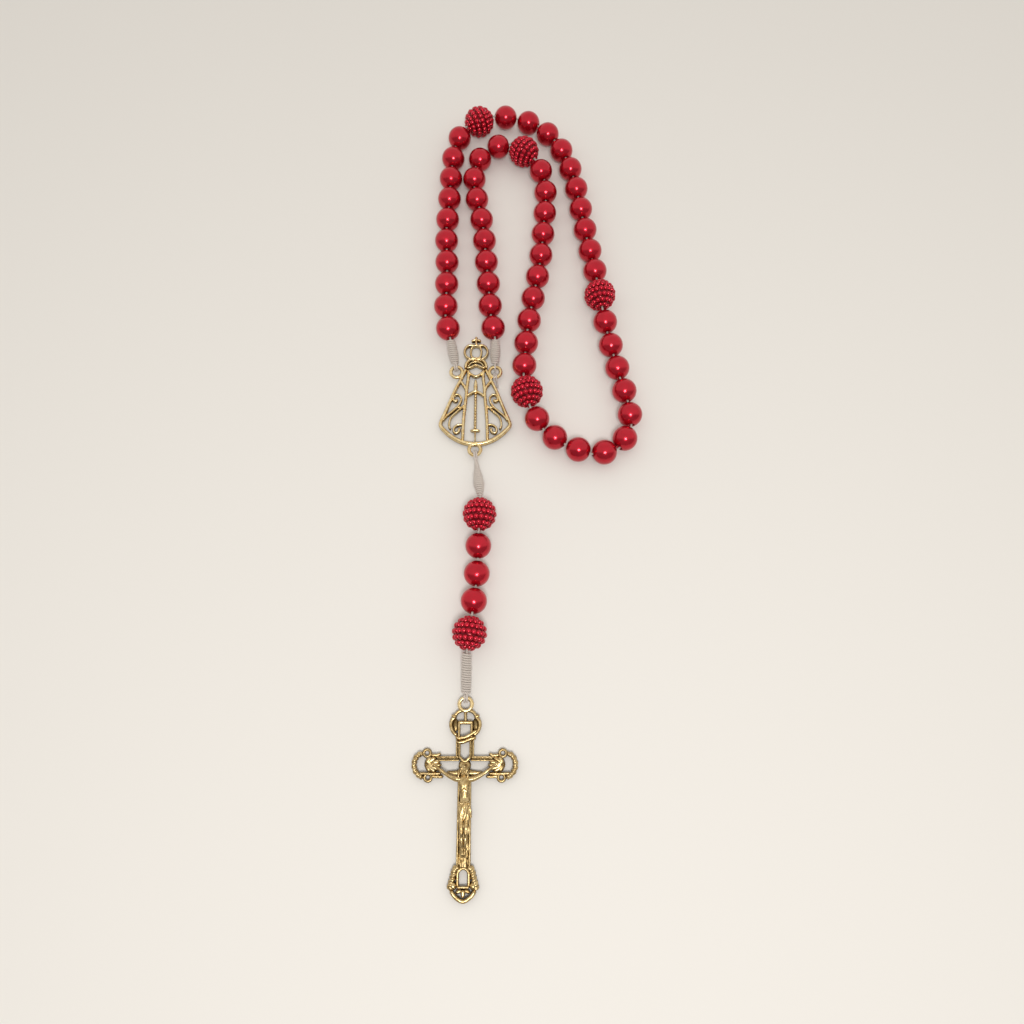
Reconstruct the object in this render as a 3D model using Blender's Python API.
"""A corded rosary, laid out flat on a table at z = 0, in metres with +Z up.

Five decades of pearl beads lie in a loop that is tied to the two upper rings of an openwork
medal. A short row of beads hangs from the medal's lower ring and carries a crucifix.
The origin is on the medal's flat back, on its middle rod.
"""
import math
from collections import namedtuple

import bmesh
import bpy
import numpy as np
from mathutils import Matrix, Vector

# Beads
AVE_DIAMETER = 0.0060
PATER_DIAMETER = 0.0080
BORE_DIAMETER = 0.0014
PATER_ROW_DEPTH = 0.0004
PATER_ROWS = 7
BEADS_IN_DECADE = 10
# First bead of the joined pair in each decade
PAIR_STARTS = (2, 7, 2, 4, 8)
# Single beads and joined pairs on each strand that is tied to the medal
STRAND_NODES = 4
PAIR_NECK_DIAMETER = 0.0024

# Cord and the wraps of its knots
CORD_DIAMETER = 0.0005
CLEARANCE = 0.0003
WRAP_RADIUS = 0.00105
WRAP_SPACE = 0.00048
UPPER_KNOT_TURNS = 5
PENDANT_KNOT_TURNS = 8
CRUCIFIX_KNOT_TURNS = 8
KNOT_LEAD = 0.0013
PENDANT_LEAD = 0.0030
KNOT_NECK = 0.0006
POINTS_PER_TURN = 8
LOOP_STEPS = 6

# Rings that the cord is tied to
RING_WIRE = 0.00084
RING_HOLE = 0.00196
FLOOR_GAP = 0.00005

# Medal
MEDAL_WIDTH = 0.0172
MEDAL_HEIGHT = 0.0292
MEDAL_THICKNESS = 0.0018
MEDAL_BAR = 0.0008
# Crucifix
CRUCIFIX_WIDTH = 0.0232
CRUCIFIX_LENGTH = 0.0407
CRUCIFIX_THICKNESS = 0.0018
CRUCIFIX_BAR = 0.0008

# Outlines are filled at a larger scale, because the fill drops faces this small
FILL_SCALE = 1000

# Sizes that the outlines and the cord's route below are drawn for
DRAWN_MEDAL = (0.0172, 0.0292)
DRAWN_CRUCIFIX = (0.0232, 0.0407)
DRAWN_AVE = 0.0060

# Sizes that follow
AVE_RADIUS = AVE_DIAMETER / 2
PATER_RADIUS = PATER_DIAMETER / 2
CORD_RADIUS = CORD_DIAMETER / 2
LAY = AVE_DIAMETER / DRAWN_AVE
RING_RADIUS = (RING_HOLE + RING_WIRE) / 2
RING_LOOP_RADIUS = RING_WIRE / 2 + CORD_RADIUS + CLEARANCE
RING_HEIGHT = FLOOR_GAP + CORD_RADIUS + RING_LOOP_RADIUS
WRAP_PITCH = CORD_DIAMETER + WRAP_SPACE
KNOT_HEIGHT = WRAP_RADIUS + CORD_RADIUS + FLOOR_GAP

# Route of the loop from the end of the left strand round to the end of the right strand,
# seen from above and measured from the end of the left strand
LOOP_ROUTE = (
    (0.0000, 0.0000), (0.0005, 0.0061), (0.0007, 0.0124), (0.0010, 0.0187), (0.0016, 0.0249),
    (0.0038, 0.0306), (0.0084, 0.0341), (0.0142, 0.0351), (0.0206, 0.0343), (0.0266, 0.0306),
    (0.0302, 0.0248), (0.0327, 0.0187), (0.0345, 0.0094), (0.0364, -0.0028), (0.0380, -0.0110),
    (0.0389, -0.0189), (0.0402, -0.0265), (0.0422, -0.0370), (0.0443, -0.0450), (0.0458, -0.0520),
    (0.0448, -0.0588), (0.0386, -0.0622), (0.0319, -0.0604), (0.0257, -0.0568), (0.0217, -0.0510),
    (0.0199, -0.0442), (0.0202, -0.0362), (0.0212, -0.0260), (0.0232, -0.0165), (0.0246, -0.0060),
    (0.0254, 0.0040), (0.0260, 0.0125), (0.0242, 0.0196), (0.0194, 0.0250), (0.0129, 0.0266),
    (0.0079, 0.0220), (0.0068, 0.0145), (0.0082, 0.0080), (0.0096, 0.0000),
)
# Both strands reach equally far from the medal, so that they swing side by side
STRAND_REACH = (-0.0032, 0.0392)
LEFT_HEADING = (-0.19, 0.98)
RIGHT_HEADING = (0.00, 1.00)
LEFT_ROUTE = ((-0.0028, 0.0125), (-0.0027, 0.0190), (-0.0027, 0.0255), (-0.0029, 0.0320))
RIGHT_ROUTE = ((-0.0009, 0.0125), (-0.0015, 0.0190), (-0.0020, 0.0255), (-0.0026, 0.0320))
# Route of the pendant's beads, measured from the cord in the medal's lower ring
PENDANT_HEADING = (0.12, -0.99)
PENDANT_ROUTE = ((0.0013, -0.0160), (0.0012, -0.0230), (0.0009, -0.0300), (0.0003, -0.0370),
                 (-0.0005, -0.0435), (-0.0011, -0.0484))
CRUCIFIX_HEADING = (0.02, 1.00)

# Middle lines of the medal's bars on its right half, and its outer edge from the top down
MEDAL_EDGE = (
    (0.00000, 0.02170), (0.00060, 0.02120), (0.00045, 0.02060), (0.00095, 0.02000), (0.00110, 0.01940),
    (0.00230, 0.01890), (0.00275, 0.01740), (0.00235, 0.01580), (0.00200, 0.01500), (0.00250, 0.01400),
    (0.00265, 0.01290), (0.00320, 0.01220), (0.00390, 0.01060), (0.00450, 0.00920), (0.00590, 0.00550),
    (0.00740, 0.00110), (0.00860, -0.00240), (0.00825, -0.00340), (0.00600, -0.00560),
    (0.00260, -0.00715), (0.00000, -0.00750),
)
MEDAL_SIDE_WINDOWS = (
    ((0.00185, 0.01225), (0.00365, 0.00960), (0.00210, 0.00670)),
    ((0.00385, 0.00935), (0.00535, 0.00540), (0.00660, 0.00090), (0.00440, 0.00210),
     (0.00260, 0.00350), (0.00220, 0.00640)),
    ((0.00270, 0.00280), (0.00460, 0.00130), (0.00665, -0.00010), (0.00790, -0.00260),
     (0.00560, -0.00510), (0.00290, -0.00640)),
    ((0.00000, 0.00630), (0.00215, 0.00500), (0.00255, 0.00250), (0.00285, -0.00655), (0.00000, -0.00695)),
    ((0.00000, 0.01030), (0.00175, 0.01200), (0.00205, 0.00760), (0.00212, 0.00570), (0.00000, 0.00690)),
    ((0.00095, 0.01880), (0.00215, 0.01850), (0.00250, 0.01720), (0.00190, 0.01570), (0.00135, 0.01720)),
)
MEDAL_MIDDLE_WINDOWS = (
    ((0.00000, 0.01390), (0.00200, 0.01280), (0.00000, 0.01075), (-0.00200, 0.01280)),
    ((0.00000, 0.01900), (0.00110, 0.01730), (0.00000, 0.01545), (-0.00110, 0.01730)),
)
MEDAL_SIDE_RING = (0.00478, 0.01170)
MEDAL_LOWER_RING = (0.00000, -0.00880)

# The crucifix's edge and windows on its right half, measured down from its ring
CRUCIFIX_EDGE = (
    (0.0000, -0.0011), (0.0012, -0.0016), (0.0031, -0.0030), (0.0035, -0.0047), (0.0031, -0.0062),
    (0.0026, -0.0073), (0.0025, -0.0088), (0.0021, -0.0096), (0.0021, -0.0110), (0.0028, -0.0114),
    (0.0048, -0.0113), (0.0059, -0.0107), (0.0070, -0.0103), (0.0082, -0.0097), (0.0094, -0.0104),
    (0.0108, -0.0117), (0.0116, -0.0134), (0.0108, -0.0152), (0.0094, -0.0163), (0.0082, -0.0170),
    (0.0070, -0.0164), (0.0058, -0.0159), (0.0046, -0.0155), (0.0032, -0.0163), (0.0019, -0.0174),
    (0.0015, -0.0190), (0.0015, -0.0260), (0.0015, -0.0330), (0.0024, -0.0342), (0.0028, -0.0356),
    (0.0033, -0.0371), (0.0030, -0.0386), (0.0017, -0.0399), (0.0000, -0.0407),
)
CRUCIFIX_SIDE_WINDOWS = (
    ((0.0003, -0.0024), (0.0016, -0.0024), (0.0016, -0.0038), (0.0003, -0.0038)),
    ((0.0017, -0.0041), (0.0031, -0.0037), (0.0031, -0.0058), (0.0018, -0.0058)),
    ((0.0019, -0.0121), (0.0054, -0.0121), (0.0053, -0.0140), (0.0032, -0.0152), (0.0019, -0.0157)),
    ((0.0072, -0.0109), (0.0082, -0.0101), (0.0092, -0.0109), (0.0082, -0.0119)),
    ((0.0071, -0.0157), (0.0081, -0.0149), (0.0091, -0.0157), (0.0081, -0.0167)),
    ((0.0085, -0.0134), (0.0094, -0.0117), (0.0106, -0.0134), (0.0094, -0.0150)),
)
CRUCIFIX_MIDDLE_WINDOWS = (
    ((0.0013, -0.0046), (0.0013, -0.0075), (-0.0013, -0.0075), (-0.0013, -0.0046)),
    ((0.0014, -0.0090), (0.0014, -0.0115), (0.0000, -0.0126), (-0.0014, -0.0115), (-0.0014, -0.0090)),
    ((0.0000, -0.0337), (0.0014, -0.0345), (0.0014, -0.0372), (0.0000, -0.0380),
     (-0.0014, -0.0372), (-0.0014, -0.0345)),
)
# The figure on the crucifix: place along the shaft, half width and height above the plate's middle
FIGURE_SECTIONS = (
    (-0.0156, 0.0009, 0.0011), (-0.0166, 0.0018, 0.0016), (-0.0185, 0.0016, 0.0017),
    (-0.0208, 0.0011, 0.0014), (-0.0222, 0.0014, 0.0018), (-0.0240, 0.0013, 0.0018),
    (-0.0270, 0.0010, 0.0018), (-0.0290, 0.0008, 0.0015), (-0.0312, 0.0006, 0.0013),
)
FIGURE_HEAD = (0.0000, -0.0146, 0.0024)
FIGURE_HEAD_RADIUS = 0.0013
FIGURE_ARM = ((0.0010, -0.0164, 0.0018), (0.0026, -0.0158, 0.0019), (0.0044, -0.0147, 0.0019),
              (0.0062, -0.0135, 0.0019))
FIGURE_ARM_RADII = (0.0006, 0.0006, 0.0005, 0.0004)

PEARL_RED = (0.38, 0.012, 0.028, 1.0)
BERRY_RED = (0.40, 0.020, 0.040, 1.0)
GOLD = (0.72, 0.50, 0.20, 1.0)
CORD_GREY = (0.46, 0.41, 0.35, 1.0)


def flat_material(name, colour, metallic, roughness):
    """A plain finish of one colour."""
    material = bpy.data.materials.new(name)
    material.use_nodes = True
    shader = material.node_tree.nodes["Principled BSDF"]
    shader.inputs["Base Color"].default_value = colour
    shader.inputs["Metallic"].default_value = metallic
    shader.inputs["Roughness"].default_value = roughness
    return material


def add_object(name, data, location=(0, 0, 0), parent=None):
    """Put a mesh, a curve or an empty at a place in the world, carried by its parent."""
    thing = bpy.data.objects.new(name, data)
    bpy.context.collection.objects.link(thing)
    thing.parent = parent
    carried_from = parent.location if parent else Vector()
    thing.location = Vector(location) - carried_from
    return thing


def mesh_from(bm, name):
    """Close a bmesh into a smooth-shaded mesh with its faces pointing out."""
    bmesh.ops.recalc_face_normals(bm, faces=bm.faces)
    mesh = bpy.data.meshes.new(name)
    bm.to_mesh(mesh)
    bm.free()
    mesh.shade_smooth()
    mesh.set_sharp_from_angle(angle=math.radians(40))
    return mesh


def turned_mesh(name, profile, segments):
    """Turn a closed profile of (height, radius) points about the Z axis."""
    bm = bmesh.new()
    verts = [bm.verts.new((radius, 0, height)) for height, radius in profile]
    edges = [bm.edges.new((a, b)) for a, b in zip(verts, verts[1:] + verts[:1])]
    bmesh.ops.spin(bm, geom=verts + edges, axis=(0, 0, 1), cent=(0, 0, 0),
                   steps=segments, angle=math.tau, use_merge=True)
    return mesh_from(bm, name)


def bored_arc(radius, bands, row_depth=0.0):
    """Half outline of a bored ball, bore mouth to bore mouth; every other point lies deeper."""
    start = math.asin(BORE_DIAMETER / 2 / radius)
    points = []
    for step in range(bands + 1):
        angle = start + (math.pi - 2 * start) * step / bands
        reach = radius - row_depth * (step % 2 == 0) * (0 < step < bands)
        points.append((-reach * math.cos(angle), reach * math.sin(angle)))
    return points


def ave_mesh():
    mesh = turned_mesh("ave", bored_arc(AVE_RADIUS, 6), 10)
    mesh.materials.append(PEARL)
    return mesh


def pater_mesh():
    """A berry bead, whose rows of small knobs are rounds about its bore."""
    mesh = turned_mesh("pater", bored_arc(PATER_RADIUS, 2 * PATER_ROWS, PATER_ROW_DEPTH), 12)
    mesh.materials.append(BERRY)
    return mesh


def pair_mesh(spacing):
    """Two beads held together by a short neck round the cord."""
    bead = bored_arc(AVE_RADIUS, 6)
    offset = spacing / 2
    neck_angle = math.asin(PAIR_NECK_DIAMETER / 2 / AVE_RADIUS)
    neck = offset - AVE_RADIUS * math.cos(neck_angle)
    lower = [(height - offset, radius) for height, radius in bead[:-1]]
    upper = [(height + offset, radius) for height, radius in bead[1:]]
    waist = [(-neck, PAIR_NECK_DIAMETER / 2), (neck, PAIR_NECK_DIAMETER / 2)]
    mesh = turned_mesh("ave_pair", lower + waist + upper, 10)
    mesh.materials.append(PEARL)
    return mesh


def ring_mesh(centre):
    """A round wire ring that lies flat."""
    bm = bmesh.new()
    sides = 8
    verts = []
    for side in range(sides):
        angle = math.tau * side / sides
        reach = RING_RADIUS + RING_WIRE / 2 * math.cos(angle)
        verts.append(bm.verts.new((reach, 0, RING_WIRE / 2 * math.sin(angle))))
    edges = [bm.edges.new((a, b)) for a, b in zip(verts, verts[1:] + verts[:1])]
    bmesh.ops.spin(bm, geom=verts + edges, axis=(0, 0, 1), cent=(0, 0, 0),
                   steps=16, angle=math.tau, use_merge=True)
    bmesh.ops.translate(bm, verts=bm.verts, vec=centre)
    return mesh_from(bm, "ring")


def smooth_path(points, steps, closed=False):
    """Points on a Catmull-Rom curve through the given points."""
    points = np.array(points, float)
    if closed:
        padded = np.vstack([points[-1:], points, points[:2]])
    else:
        padded = np.vstack([2 * points[:1] - points[1:2], points, 2 * points[-1:] - points[-2:-1]])
    share = np.linspace(0, 1, steps, endpoint=False)[:, None]
    spans = []
    for a, b, c, d in zip(padded, padded[1:], padded[2:], padded[3:]):
        cubic = -a + 3 * b - 3 * c + d
        square = 2 * a - 5 * b + 4 * c - d
        spans.append(b + share * ((c - a) + share * (square + share * cubic)) / 2)
    path = np.vstack(spans)
    return path if closed else np.vstack([path, points[-1:]])


def inset(points, distance):
    """Move each side of an outline inwards by a distance."""
    points = np.array(points, float)
    ahead = np.roll(points, -1, axis=0) - points
    area = np.sum(points[:, 0] * np.roll(points[:, 1], -1) - np.roll(points[:, 0], -1) * points[:, 1])
    inward = np.column_stack([-ahead[:, 1], ahead[:, 0]]) * np.sign(area)
    inward /= np.linalg.norm(inward, axis=1)[:, None]
    before = np.roll(inward, 1, axis=0)
    spread = 1 + np.sum(inward * before, axis=1)
    return points + distance * (inward + before) / spread[:, None]


def rounded(points):
    """Cut the corners of an outline twice, which keeps its sides where they are."""
    for _ in range(2):
        ahead = np.roll(points, -1, axis=0)
        near = 0.75 * points + 0.25 * ahead
        far = 0.25 * points + 0.75 * ahead
        points = np.column_stack([near, far]).reshape(-1, 2)
    return points


def mirrored(points):
    return [(-x, y) for x, y in points]


def openwork(name, edge, side_windows, middle_windows, bar, scale, thickness):
    """A flat plate with windows, from the outline of its right half."""
    scale = np.array(scale)
    whole_edge = list(edge) + mirrored(edge[1:-1])[::-1]
    loops = [smooth_path(np.array(whole_edge) * scale, 2, closed=True)]
    windows = list(middle_windows)
    for window in side_windows:
        windows += [window, mirrored(window)]
    for window in windows:
        loops.append(rounded(inset(np.array(window) * scale, bar / 2)))
    bm = bmesh.new()
    for loop in loops:
        verts = [bm.verts.new((x * FILL_SCALE, y * FILL_SCALE, 0)) for x, y in loop]
        for a, b in zip(verts, verts[1:] + verts[:1]):
            bm.edges.new((a, b))
    bmesh.ops.triangle_fill(bm, use_beauty=True, use_dissolve=False, edges=bm.edges)
    bmesh.ops.scale(bm, verts=bm.verts, vec=(1 / FILL_SCALE, 1 / FILL_SCALE, 1))
    raised = bmesh.ops.extrude_face_region(bm, geom=bm.faces, use_keep_orig=True)
    top = [item for item in raised["geom"] if isinstance(item, bmesh.types.BMVert)]
    bmesh.ops.translate(bm, verts=top, vec=(0, 0, thickness))
    return mesh_from(bm, name)


def add_to_casting(casting, mesh):
    """Join another shape to a casting; both are closed and small, which suits the manifold solver."""
    shape = add_object(casting.name + "_" + mesh.name, mesh, parent=casting.parent)
    shape.location = casting.location
    shape.hide_render = True
    shape.display_type = "WIRE"
    join = casting.modifiers.new(mesh.name, "BOOLEAN")
    join.operation = "UNION"
    join.solver = "MANIFOLD"
    join.object = shape


def skin_rings(rings, name):
    """A closed shape over rings of points."""
    bm = bmesh.new()
    loops = [[bm.verts.new(point) for point in ring] for ring in rings]
    for low, high in zip(loops, loops[1:]):
        for index in range(len(low)):
            after = (index + 1) % len(low)
            bm.faces.new((low[index], low[after], high[after], high[index]))
    bm.faces.new(loops[0])
    bm.faces.new(loops[-1])
    return mesh_from(bm, name)


def figure_body_mesh(scale):
    """The figure's trunk and legs, as ovals along the shaft."""
    rings = []
    for place, half_width, height in FIGURE_SECTIONS:
        ring = []
        for side in range(10):
            angle = math.tau * side / 10
            across = half_width * math.cos(angle)
            above = CRUCIFIX_THICKNESS / 2 + height * math.sin(angle) * (0.4 if angle > math.pi else 1.0)
            ring.append((across * scale[0], place * scale[1], above))
        rings.append(ring)
    return skin_rings(rings, "body")


def figure_arm_mesh(scale, side):
    """A tapering arm that runs from the shoulder out to the end of the cross arm."""
    rings = []
    for (x, y, z), radius in zip(FIGURE_ARM, FIGURE_ARM_RADII):
        ring = []
        for step in range(8):
            angle = math.tau * step / 8
            spread = radius * math.cos(angle)
            ring.append((x * side * scale[0], y * scale[1] + spread, z + radius * math.sin(angle)))
        rings.append(ring)
    return skin_rings(rings, "left_arm" if side < 0 else "right_arm")


def figure_head_mesh(scale):
    bm = bmesh.new()
    bmesh.ops.create_icosphere(bm, subdivisions=2, radius=FIGURE_HEAD_RADIUS)
    x, y, z = FIGURE_HEAD
    bmesh.ops.translate(bm, verts=bm.verts, vec=(x * scale[0], y * scale[1], z))
    return mesh_from(bm, "head")


Bead = namedtuple("Bead", "name diameter count")


class Route:
    """A smooth route seen from above, read by the distance along it."""

    def __init__(self, points):
        self.path = smooth_path(points, 24)
        steps = np.linalg.norm(np.diff(self.path, axis=0), axis=1)
        self.along = np.concatenate([[0], np.cumsum(steps)])
        self.length = self.along[-1]

    def at(self, distance):
        return np.array([np.interp(distance, self.along, self.path[:, axis]) for axis in (0, 1)])

    def bend(self, distance):
        """How sharply the route turns near a place, in radians for each metre."""
        before = self.at(distance) - self.at(distance - AVE_RADIUS)
        after = self.at(distance + AVE_RADIUS) - self.at(distance)
        turn = math.atan2(before[0] * after[1] - before[1] * after[0], before @ after)
        return abs(turn) / AVE_RADIUS


def stations(route, sizes, gap):
    """Distances along a route of the gaps before, between and after a row of beads."""
    places = [0.0]
    for size in sizes:
        bend = route.bend(places[-1] + size / 2)
        places.append(places[-1] + (size + gap) * (1 + (bend * size) ** 2 / 6))
    return places


def threaded(route, row, first_height, last_height):
    """The cord's places in the gaps of a row of beads that fills a route evenly.

    Beads stand further apart on a bend. The cord leaves a larger bead at that bead's own height.
    """
    sizes = [bead.diameter for bead in row for _ in range(bead.count)]
    low = 0.0
    high = AVE_DIAMETER
    for _ in range(40):
        gap = (low + high) / 2
        if stations(route, sizes, gap)[-1] > route.length:
            high = gap
        else:
            low = gap
    between = [max(a, b) / 2 for a, b in zip(sizes, sizes[1:])]
    heights = [first_height] + between + [last_height]
    gaps = [Vector((*route.at(place), height)) for place, height in zip(stations(route, sizes, low), heights)]
    print(f"{len(sizes)} beads on {route.length * 1000:.1f} mm of cord, {low * 1000:.2f} mm apart")
    ends = np.concatenate([[0], np.cumsum([bead.count for bead in row])])
    return [gaps[index] for index in ends]


def tied_end(ring, heading, lead, turns, bead_height):
    """Cord from the end of its wraps, round a ring and back inside the wraps.

    The wraps wind towards the ring round the cord's own middle run. The cord then goes under
    the ring, up through it, over it and back. Returns the points and the pivot in the ring.
    """
    ahead = Vector((*heading, 0)).normalized()
    up = Vector((0, 0, 1))
    wire = Vector(ring) + ahead * RING_RADIUS
    pivot = wire - ahead * RING_LOOP_RADIUS
    start = wire + ahead * lead
    start.z = KNOT_HEIGHT
    run = ahead * (turns * WRAP_PITCH) + up * (bead_height - KNOT_HEIGHT)
    side = run.cross(up).normalized()
    above = side.cross(run).normalized()
    wraps = []
    for step in range(turns * POINTS_PER_TURN, -1, -1):
        share = step / (turns * POINTS_PER_TURN)
        angle = math.tau * turns * share
        spoke = side * math.sin(angle) - above * math.cos(angle)
        wraps.append(start + run * share + spoke * WRAP_RADIUS)
    tail = wraps[0] + (wraps[0] - wraps[1]).normalized() * CORD_DIAMETER
    loop = []
    for step in range(LOOP_STEPS + 1):
        angle = math.pi * (1.5 - step / LOOP_STEPS)
        loop.append(wire + (ahead * math.cos(angle) + up * math.sin(angle)) * RING_LOOP_RADIUS)
    neck = start + run + ahead * KNOT_NECK
    return [tail] + wraps + loop + [start, start + run, neck], pivot


def least_gap(points):
    """Least gap between a cord and a later stretch of itself."""
    points = np.array(points)
    steps = np.linalg.norm(np.diff(points, axis=0), axis=1)
    along = np.concatenate([[0], np.cumsum(steps)])
    reads = np.linspace(0, along[-1], int(along[-1] / CORD_RADIUS))
    dense = np.column_stack([np.interp(reads, along, points[:, axis]) for axis in range(3)])
    apart = np.linalg.norm(dense[:, None] - dense[None], axis=2)
    apart[np.abs(reads[:, None] - reads[None]) < 4 * CORD_DIAMETER] = np.inf
    return apart.min() - CORD_DIAMETER


def cord_object(name, points, pivot, parent, resolution):
    """A round cord with flat ends."""
    curve = bpy.data.curves.new(name, "CURVE")
    curve.dimensions = "3D"
    curve.bevel_depth = CORD_RADIUS
    curve.bevel_resolution = resolution
    curve.use_fill_caps = True
    spline = curve.splines.new("POLY")
    spline.points.add(len(points) - 1)
    for point, place in zip(spline.points, points):
        point.co = (*(place - pivot), 1)
    curve.materials.append(CORD)
    print(f"{name}: least gap to itself {least_gap(points) * 1000:.2f} mm")
    add_object(name, curve, pivot, parent)


def string_beads(row, gaps, parent):
    """Put each bead, or joined pair, on its straight run of cord with its bore along the run."""
    for bead, start, end in zip(row, gaps, gaps[1:]):
        run = (end - start).normalized()
        side = Vector((0, 0, 1)).cross(run).normalized()
        turn = Matrix((side.cross(run), side, run)).transposed()
        if bead.count == 2:
            mesh = pair_mesh((end - start).length / 2)
        elif bead.diameter == PATER_DIAMETER:
            mesh = PATER_MESH
        else:
            mesh = AVE_MESH
        thing = add_object(bead.name, mesh, (start + end) / 2, parent)
        thing.rotation_euler = turn.to_euler()


def loop_row():
    """The loop's beads in order, from the medal's left ring round to its right ring."""
    row = []
    for decade, pair_start in enumerate(PAIR_STARTS, 1):
        number = 1
        while number <= BEADS_IN_DECADE:
            if number == pair_start:
                name = f"hail_mary_beads_{decade}_{number:02d}_{number + 1:02d}"
                row.append(Bead(name, AVE_DIAMETER, 2))
                number += 2
            else:
                row.append(Bead(f"hail_mary_bead_{decade}_{number:02d}", AVE_DIAMETER, 1))
                number += 1
        if decade < len(PAIR_STARTS):
            row.append(Bead(f"our_father_bead_{decade}", PATER_DIAMETER, 1))
    return row


def pendant_row():
    row = [Bead("pendant_our_father_bead_1", PATER_DIAMETER, 1)]
    row += [Bead(f"pendant_hail_mary_bead_{number}", AVE_DIAMETER, 1) for number in (1, 2, 3)]
    row += [Bead("pendant_our_father_bead_2", PATER_DIAMETER, 1)]
    return row


def placed(route, start):
    """Points of a hand-drawn route, at the beads' size, from its start."""
    return [np.array(start[:2]) + LAY * np.array(point) for point in route]


def build_strand(name, ring, heading, route, row):
    """One side of the loop, tied to its ring of the medal; returns the strand's far end."""
    points, pivot = tied_end(ring, heading, KNOT_LEAD, UPPER_KNOT_TURNS, AVE_RADIUS)
    carrier = add_object(name, None, pivot)
    far_end = placed([STRAND_REACH], pivot)[0]
    path = Route([points[-1][:2]] + placed(route, pivot) + [far_end])
    gaps = threaded(path, row, AVE_RADIUS, AVE_RADIUS)
    string_beads(row, gaps, carrier)
    cord_end = gaps[-1] + (gaps[-2] - gaps[-1]).normalized() * CLEARANCE / 2
    cord_object(name + "_cord", points[:-1] + gaps[:-1] + [cord_end], pivot, carrier, 1)
    return gaps[-1]


def build_loop(left_end, right_end, row):
    """The rest of the loop, between the far ends of the two strands."""
    carrier = add_object("loop", None, left_end)
    drawn = np.array(placed(LOOP_ROUTE, left_end))
    shares = np.linspace(0, 1, len(drawn))[:, None]
    route = drawn + shares * (np.array(right_end[:2]) - drawn[-1])
    gaps = threaded(Route(route), row, AVE_RADIUS, AVE_RADIUS)
    string_beads(row, gaps, carrier)
    first = gaps[0] + (gaps[1] - gaps[0]).normalized() * CLEARANCE / 2
    last = gaps[-1] + (gaps[-2] - gaps[-1]).normalized() * CLEARANCE / 2
    cord_object("loop_cord", [first] + gaps[1:-1] + [last], left_end, carrier, 2)


def build_pendant(ring):
    """The row of beads below the medal; returns the place of the crucifix's ring and its pivot."""
    points, pivot = tied_end(ring, PENDANT_HEADING, PENDANT_LEAD, PENDANT_KNOT_TURNS, PATER_RADIUS)
    carrier = add_object("pendant", None, pivot)
    route = [points[-1][:2]] + placed(PENDANT_ROUTE, pivot)
    row = pendant_row()
    gaps = threaded(Route(route), row, PATER_RADIUS, PATER_RADIUS)
    string_beads(row, gaps, carrier)
    back = Vector((*CRUCIFIX_HEADING, 0)).normalized()
    knot_length = CRUCIFIX_KNOT_TURNS * WRAP_PITCH
    lower_ring = gaps[-1] - back * (KNOT_NECK + knot_length + KNOT_LEAD + RING_RADIUS)
    lower_ring.z = RING_HEIGHT
    lower, lower_pivot = tied_end(lower_ring, CRUCIFIX_HEADING, KNOT_LEAD, CRUCIFIX_KNOT_TURNS, PATER_RADIUS)
    cord_object("pendant_cord", points[:-1] + gaps + lower[-2::-1], pivot, carrier, 1)
    return lower_ring, lower_pivot


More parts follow.
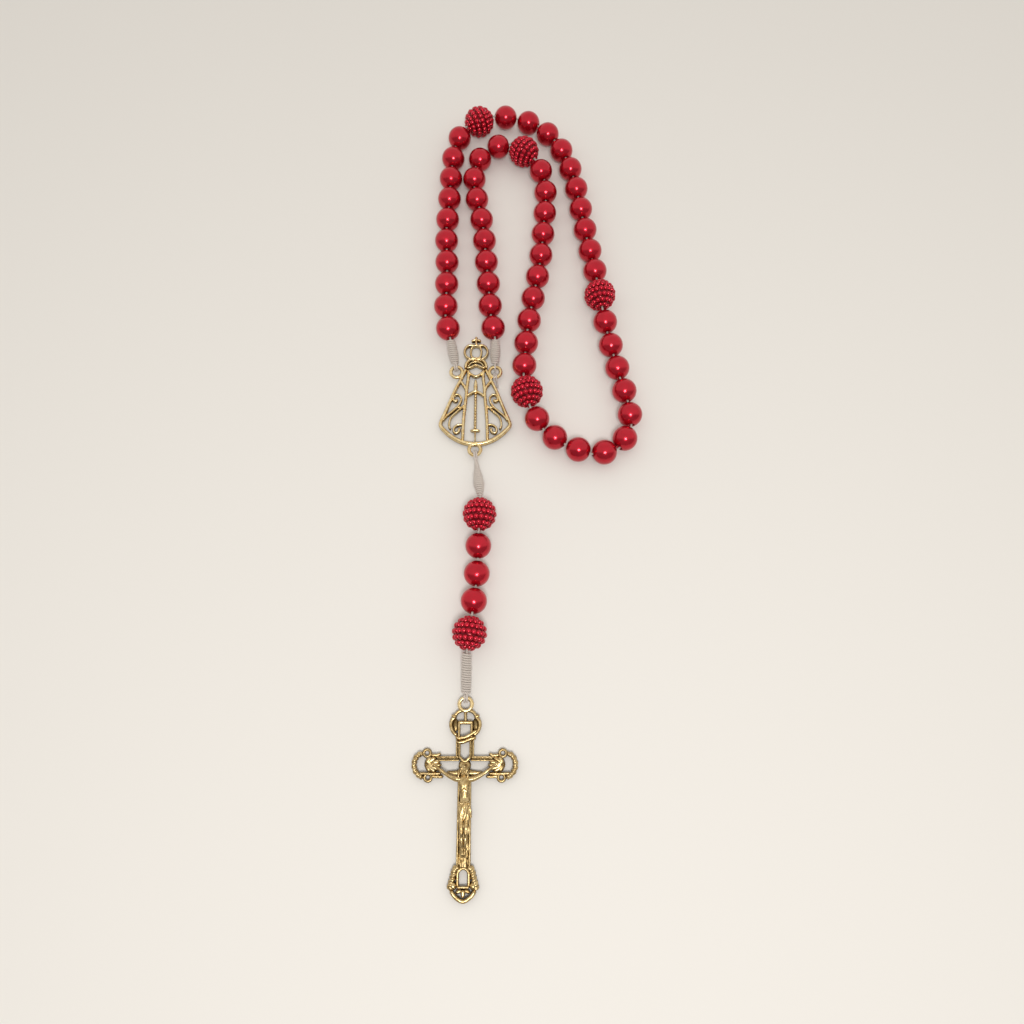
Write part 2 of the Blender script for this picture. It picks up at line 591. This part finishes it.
def build_medal():
    """The openwork medal of a crowned figure in a wide mantle; returns its rings' centres."""
    scale = (MEDAL_WIDTH / DRAWN_MEDAL[0], MEDAL_HEIGHT / DRAWN_MEDAL[1])
    plate = openwork("medal", MEDAL_EDGE, MEDAL_SIDE_WINDOWS, MEDAL_MIDDLE_WINDOWS,
                     MEDAL_BAR, scale, MEDAL_THICKNESS)
    medal = add_object("centre_medal", plate)
    plate.materials.append(GOLD_PLATE)
    side_x = MEDAL_SIDE_RING[0] * scale[0]
    side_y = MEDAL_SIDE_RING[1] * scale[1]
    lower_y = MEDAL_LOWER_RING[1] * scale[1]
    rings = [Vector((-side_x, side_y, RING_HEIGHT)), Vector((side_x, side_y, RING_HEIGHT)),
             Vector((0, lower_y, RING_HEIGHT))]
    for ring in rings:
        add_to_casting(medal, ring_mesh(ring))
    return rings


def build_crucifix(ring, pivot):
    """The openwork crucifix with its figure, on the pivot in its ring."""
    scale = (CRUCIFIX_WIDTH / DRAWN_CRUCIFIX[0], CRUCIFIX_LENGTH / DRAWN_CRUCIFIX[1])
    plate = openwork("cross", CRUCIFIX_EDGE, CRUCIFIX_SIDE_WINDOWS, CRUCIFIX_MIDDLE_WINDOWS,
                     CRUCIFIX_BAR, scale, CRUCIFIX_THICKNESS)
    plate.materials.append(GOLD_PLATE)
    carrier = add_object("crucifix_pivot", None, pivot)
    crucifix = add_object("crucifix", plate, (ring.x, ring.y, 0), carrier)
    add_to_casting(crucifix, ring_mesh(Vector((0, 0, RING_HEIGHT))))
    add_to_casting(crucifix, figure_body_mesh(scale))
    add_to_casting(crucifix, figure_arm_mesh(scale, -1))
    add_to_casting(crucifix, figure_arm_mesh(scale, 1))
    add_to_casting(crucifix, figure_head_mesh(scale))


for thing in list(bpy.data.objects):
    bpy.data.objects.remove(thing)

PEARL = flat_material("red_pearl", PEARL_RED, 0.3, 0.2)
BERRY = flat_material("red_berry_pearl", BERRY_RED, 0.3, 0.3)
GOLD_PLATE = flat_material("gold_plate", GOLD, 1.0, 0.3)
CORD = flat_material("waxed_cord", CORD_GREY, 0.0, 0.8)
AVE_MESH = ave_mesh()
PATER_MESH = pater_mesh()

LEFT_RING, RIGHT_RING, LOWER_RING = build_medal()
ROW = loop_row()
left_row = ROW[:STRAND_NODES]
right_row = ROW[:-STRAND_NODES - 1:-1]
left_end = build_strand("left_strand", LEFT_RING, LEFT_HEADING, LEFT_ROUTE, left_row)
right_end = build_strand("right_strand", RIGHT_RING, RIGHT_HEADING, RIGHT_ROUTE, right_row)
build_loop(left_end, right_end, ROW[STRAND_NODES:-STRAND_NODES])
crucifix_ring, crucifix_pivot = build_pendant(LOWER_RING)
build_crucifix(crucifix_ring, crucifix_pivot)
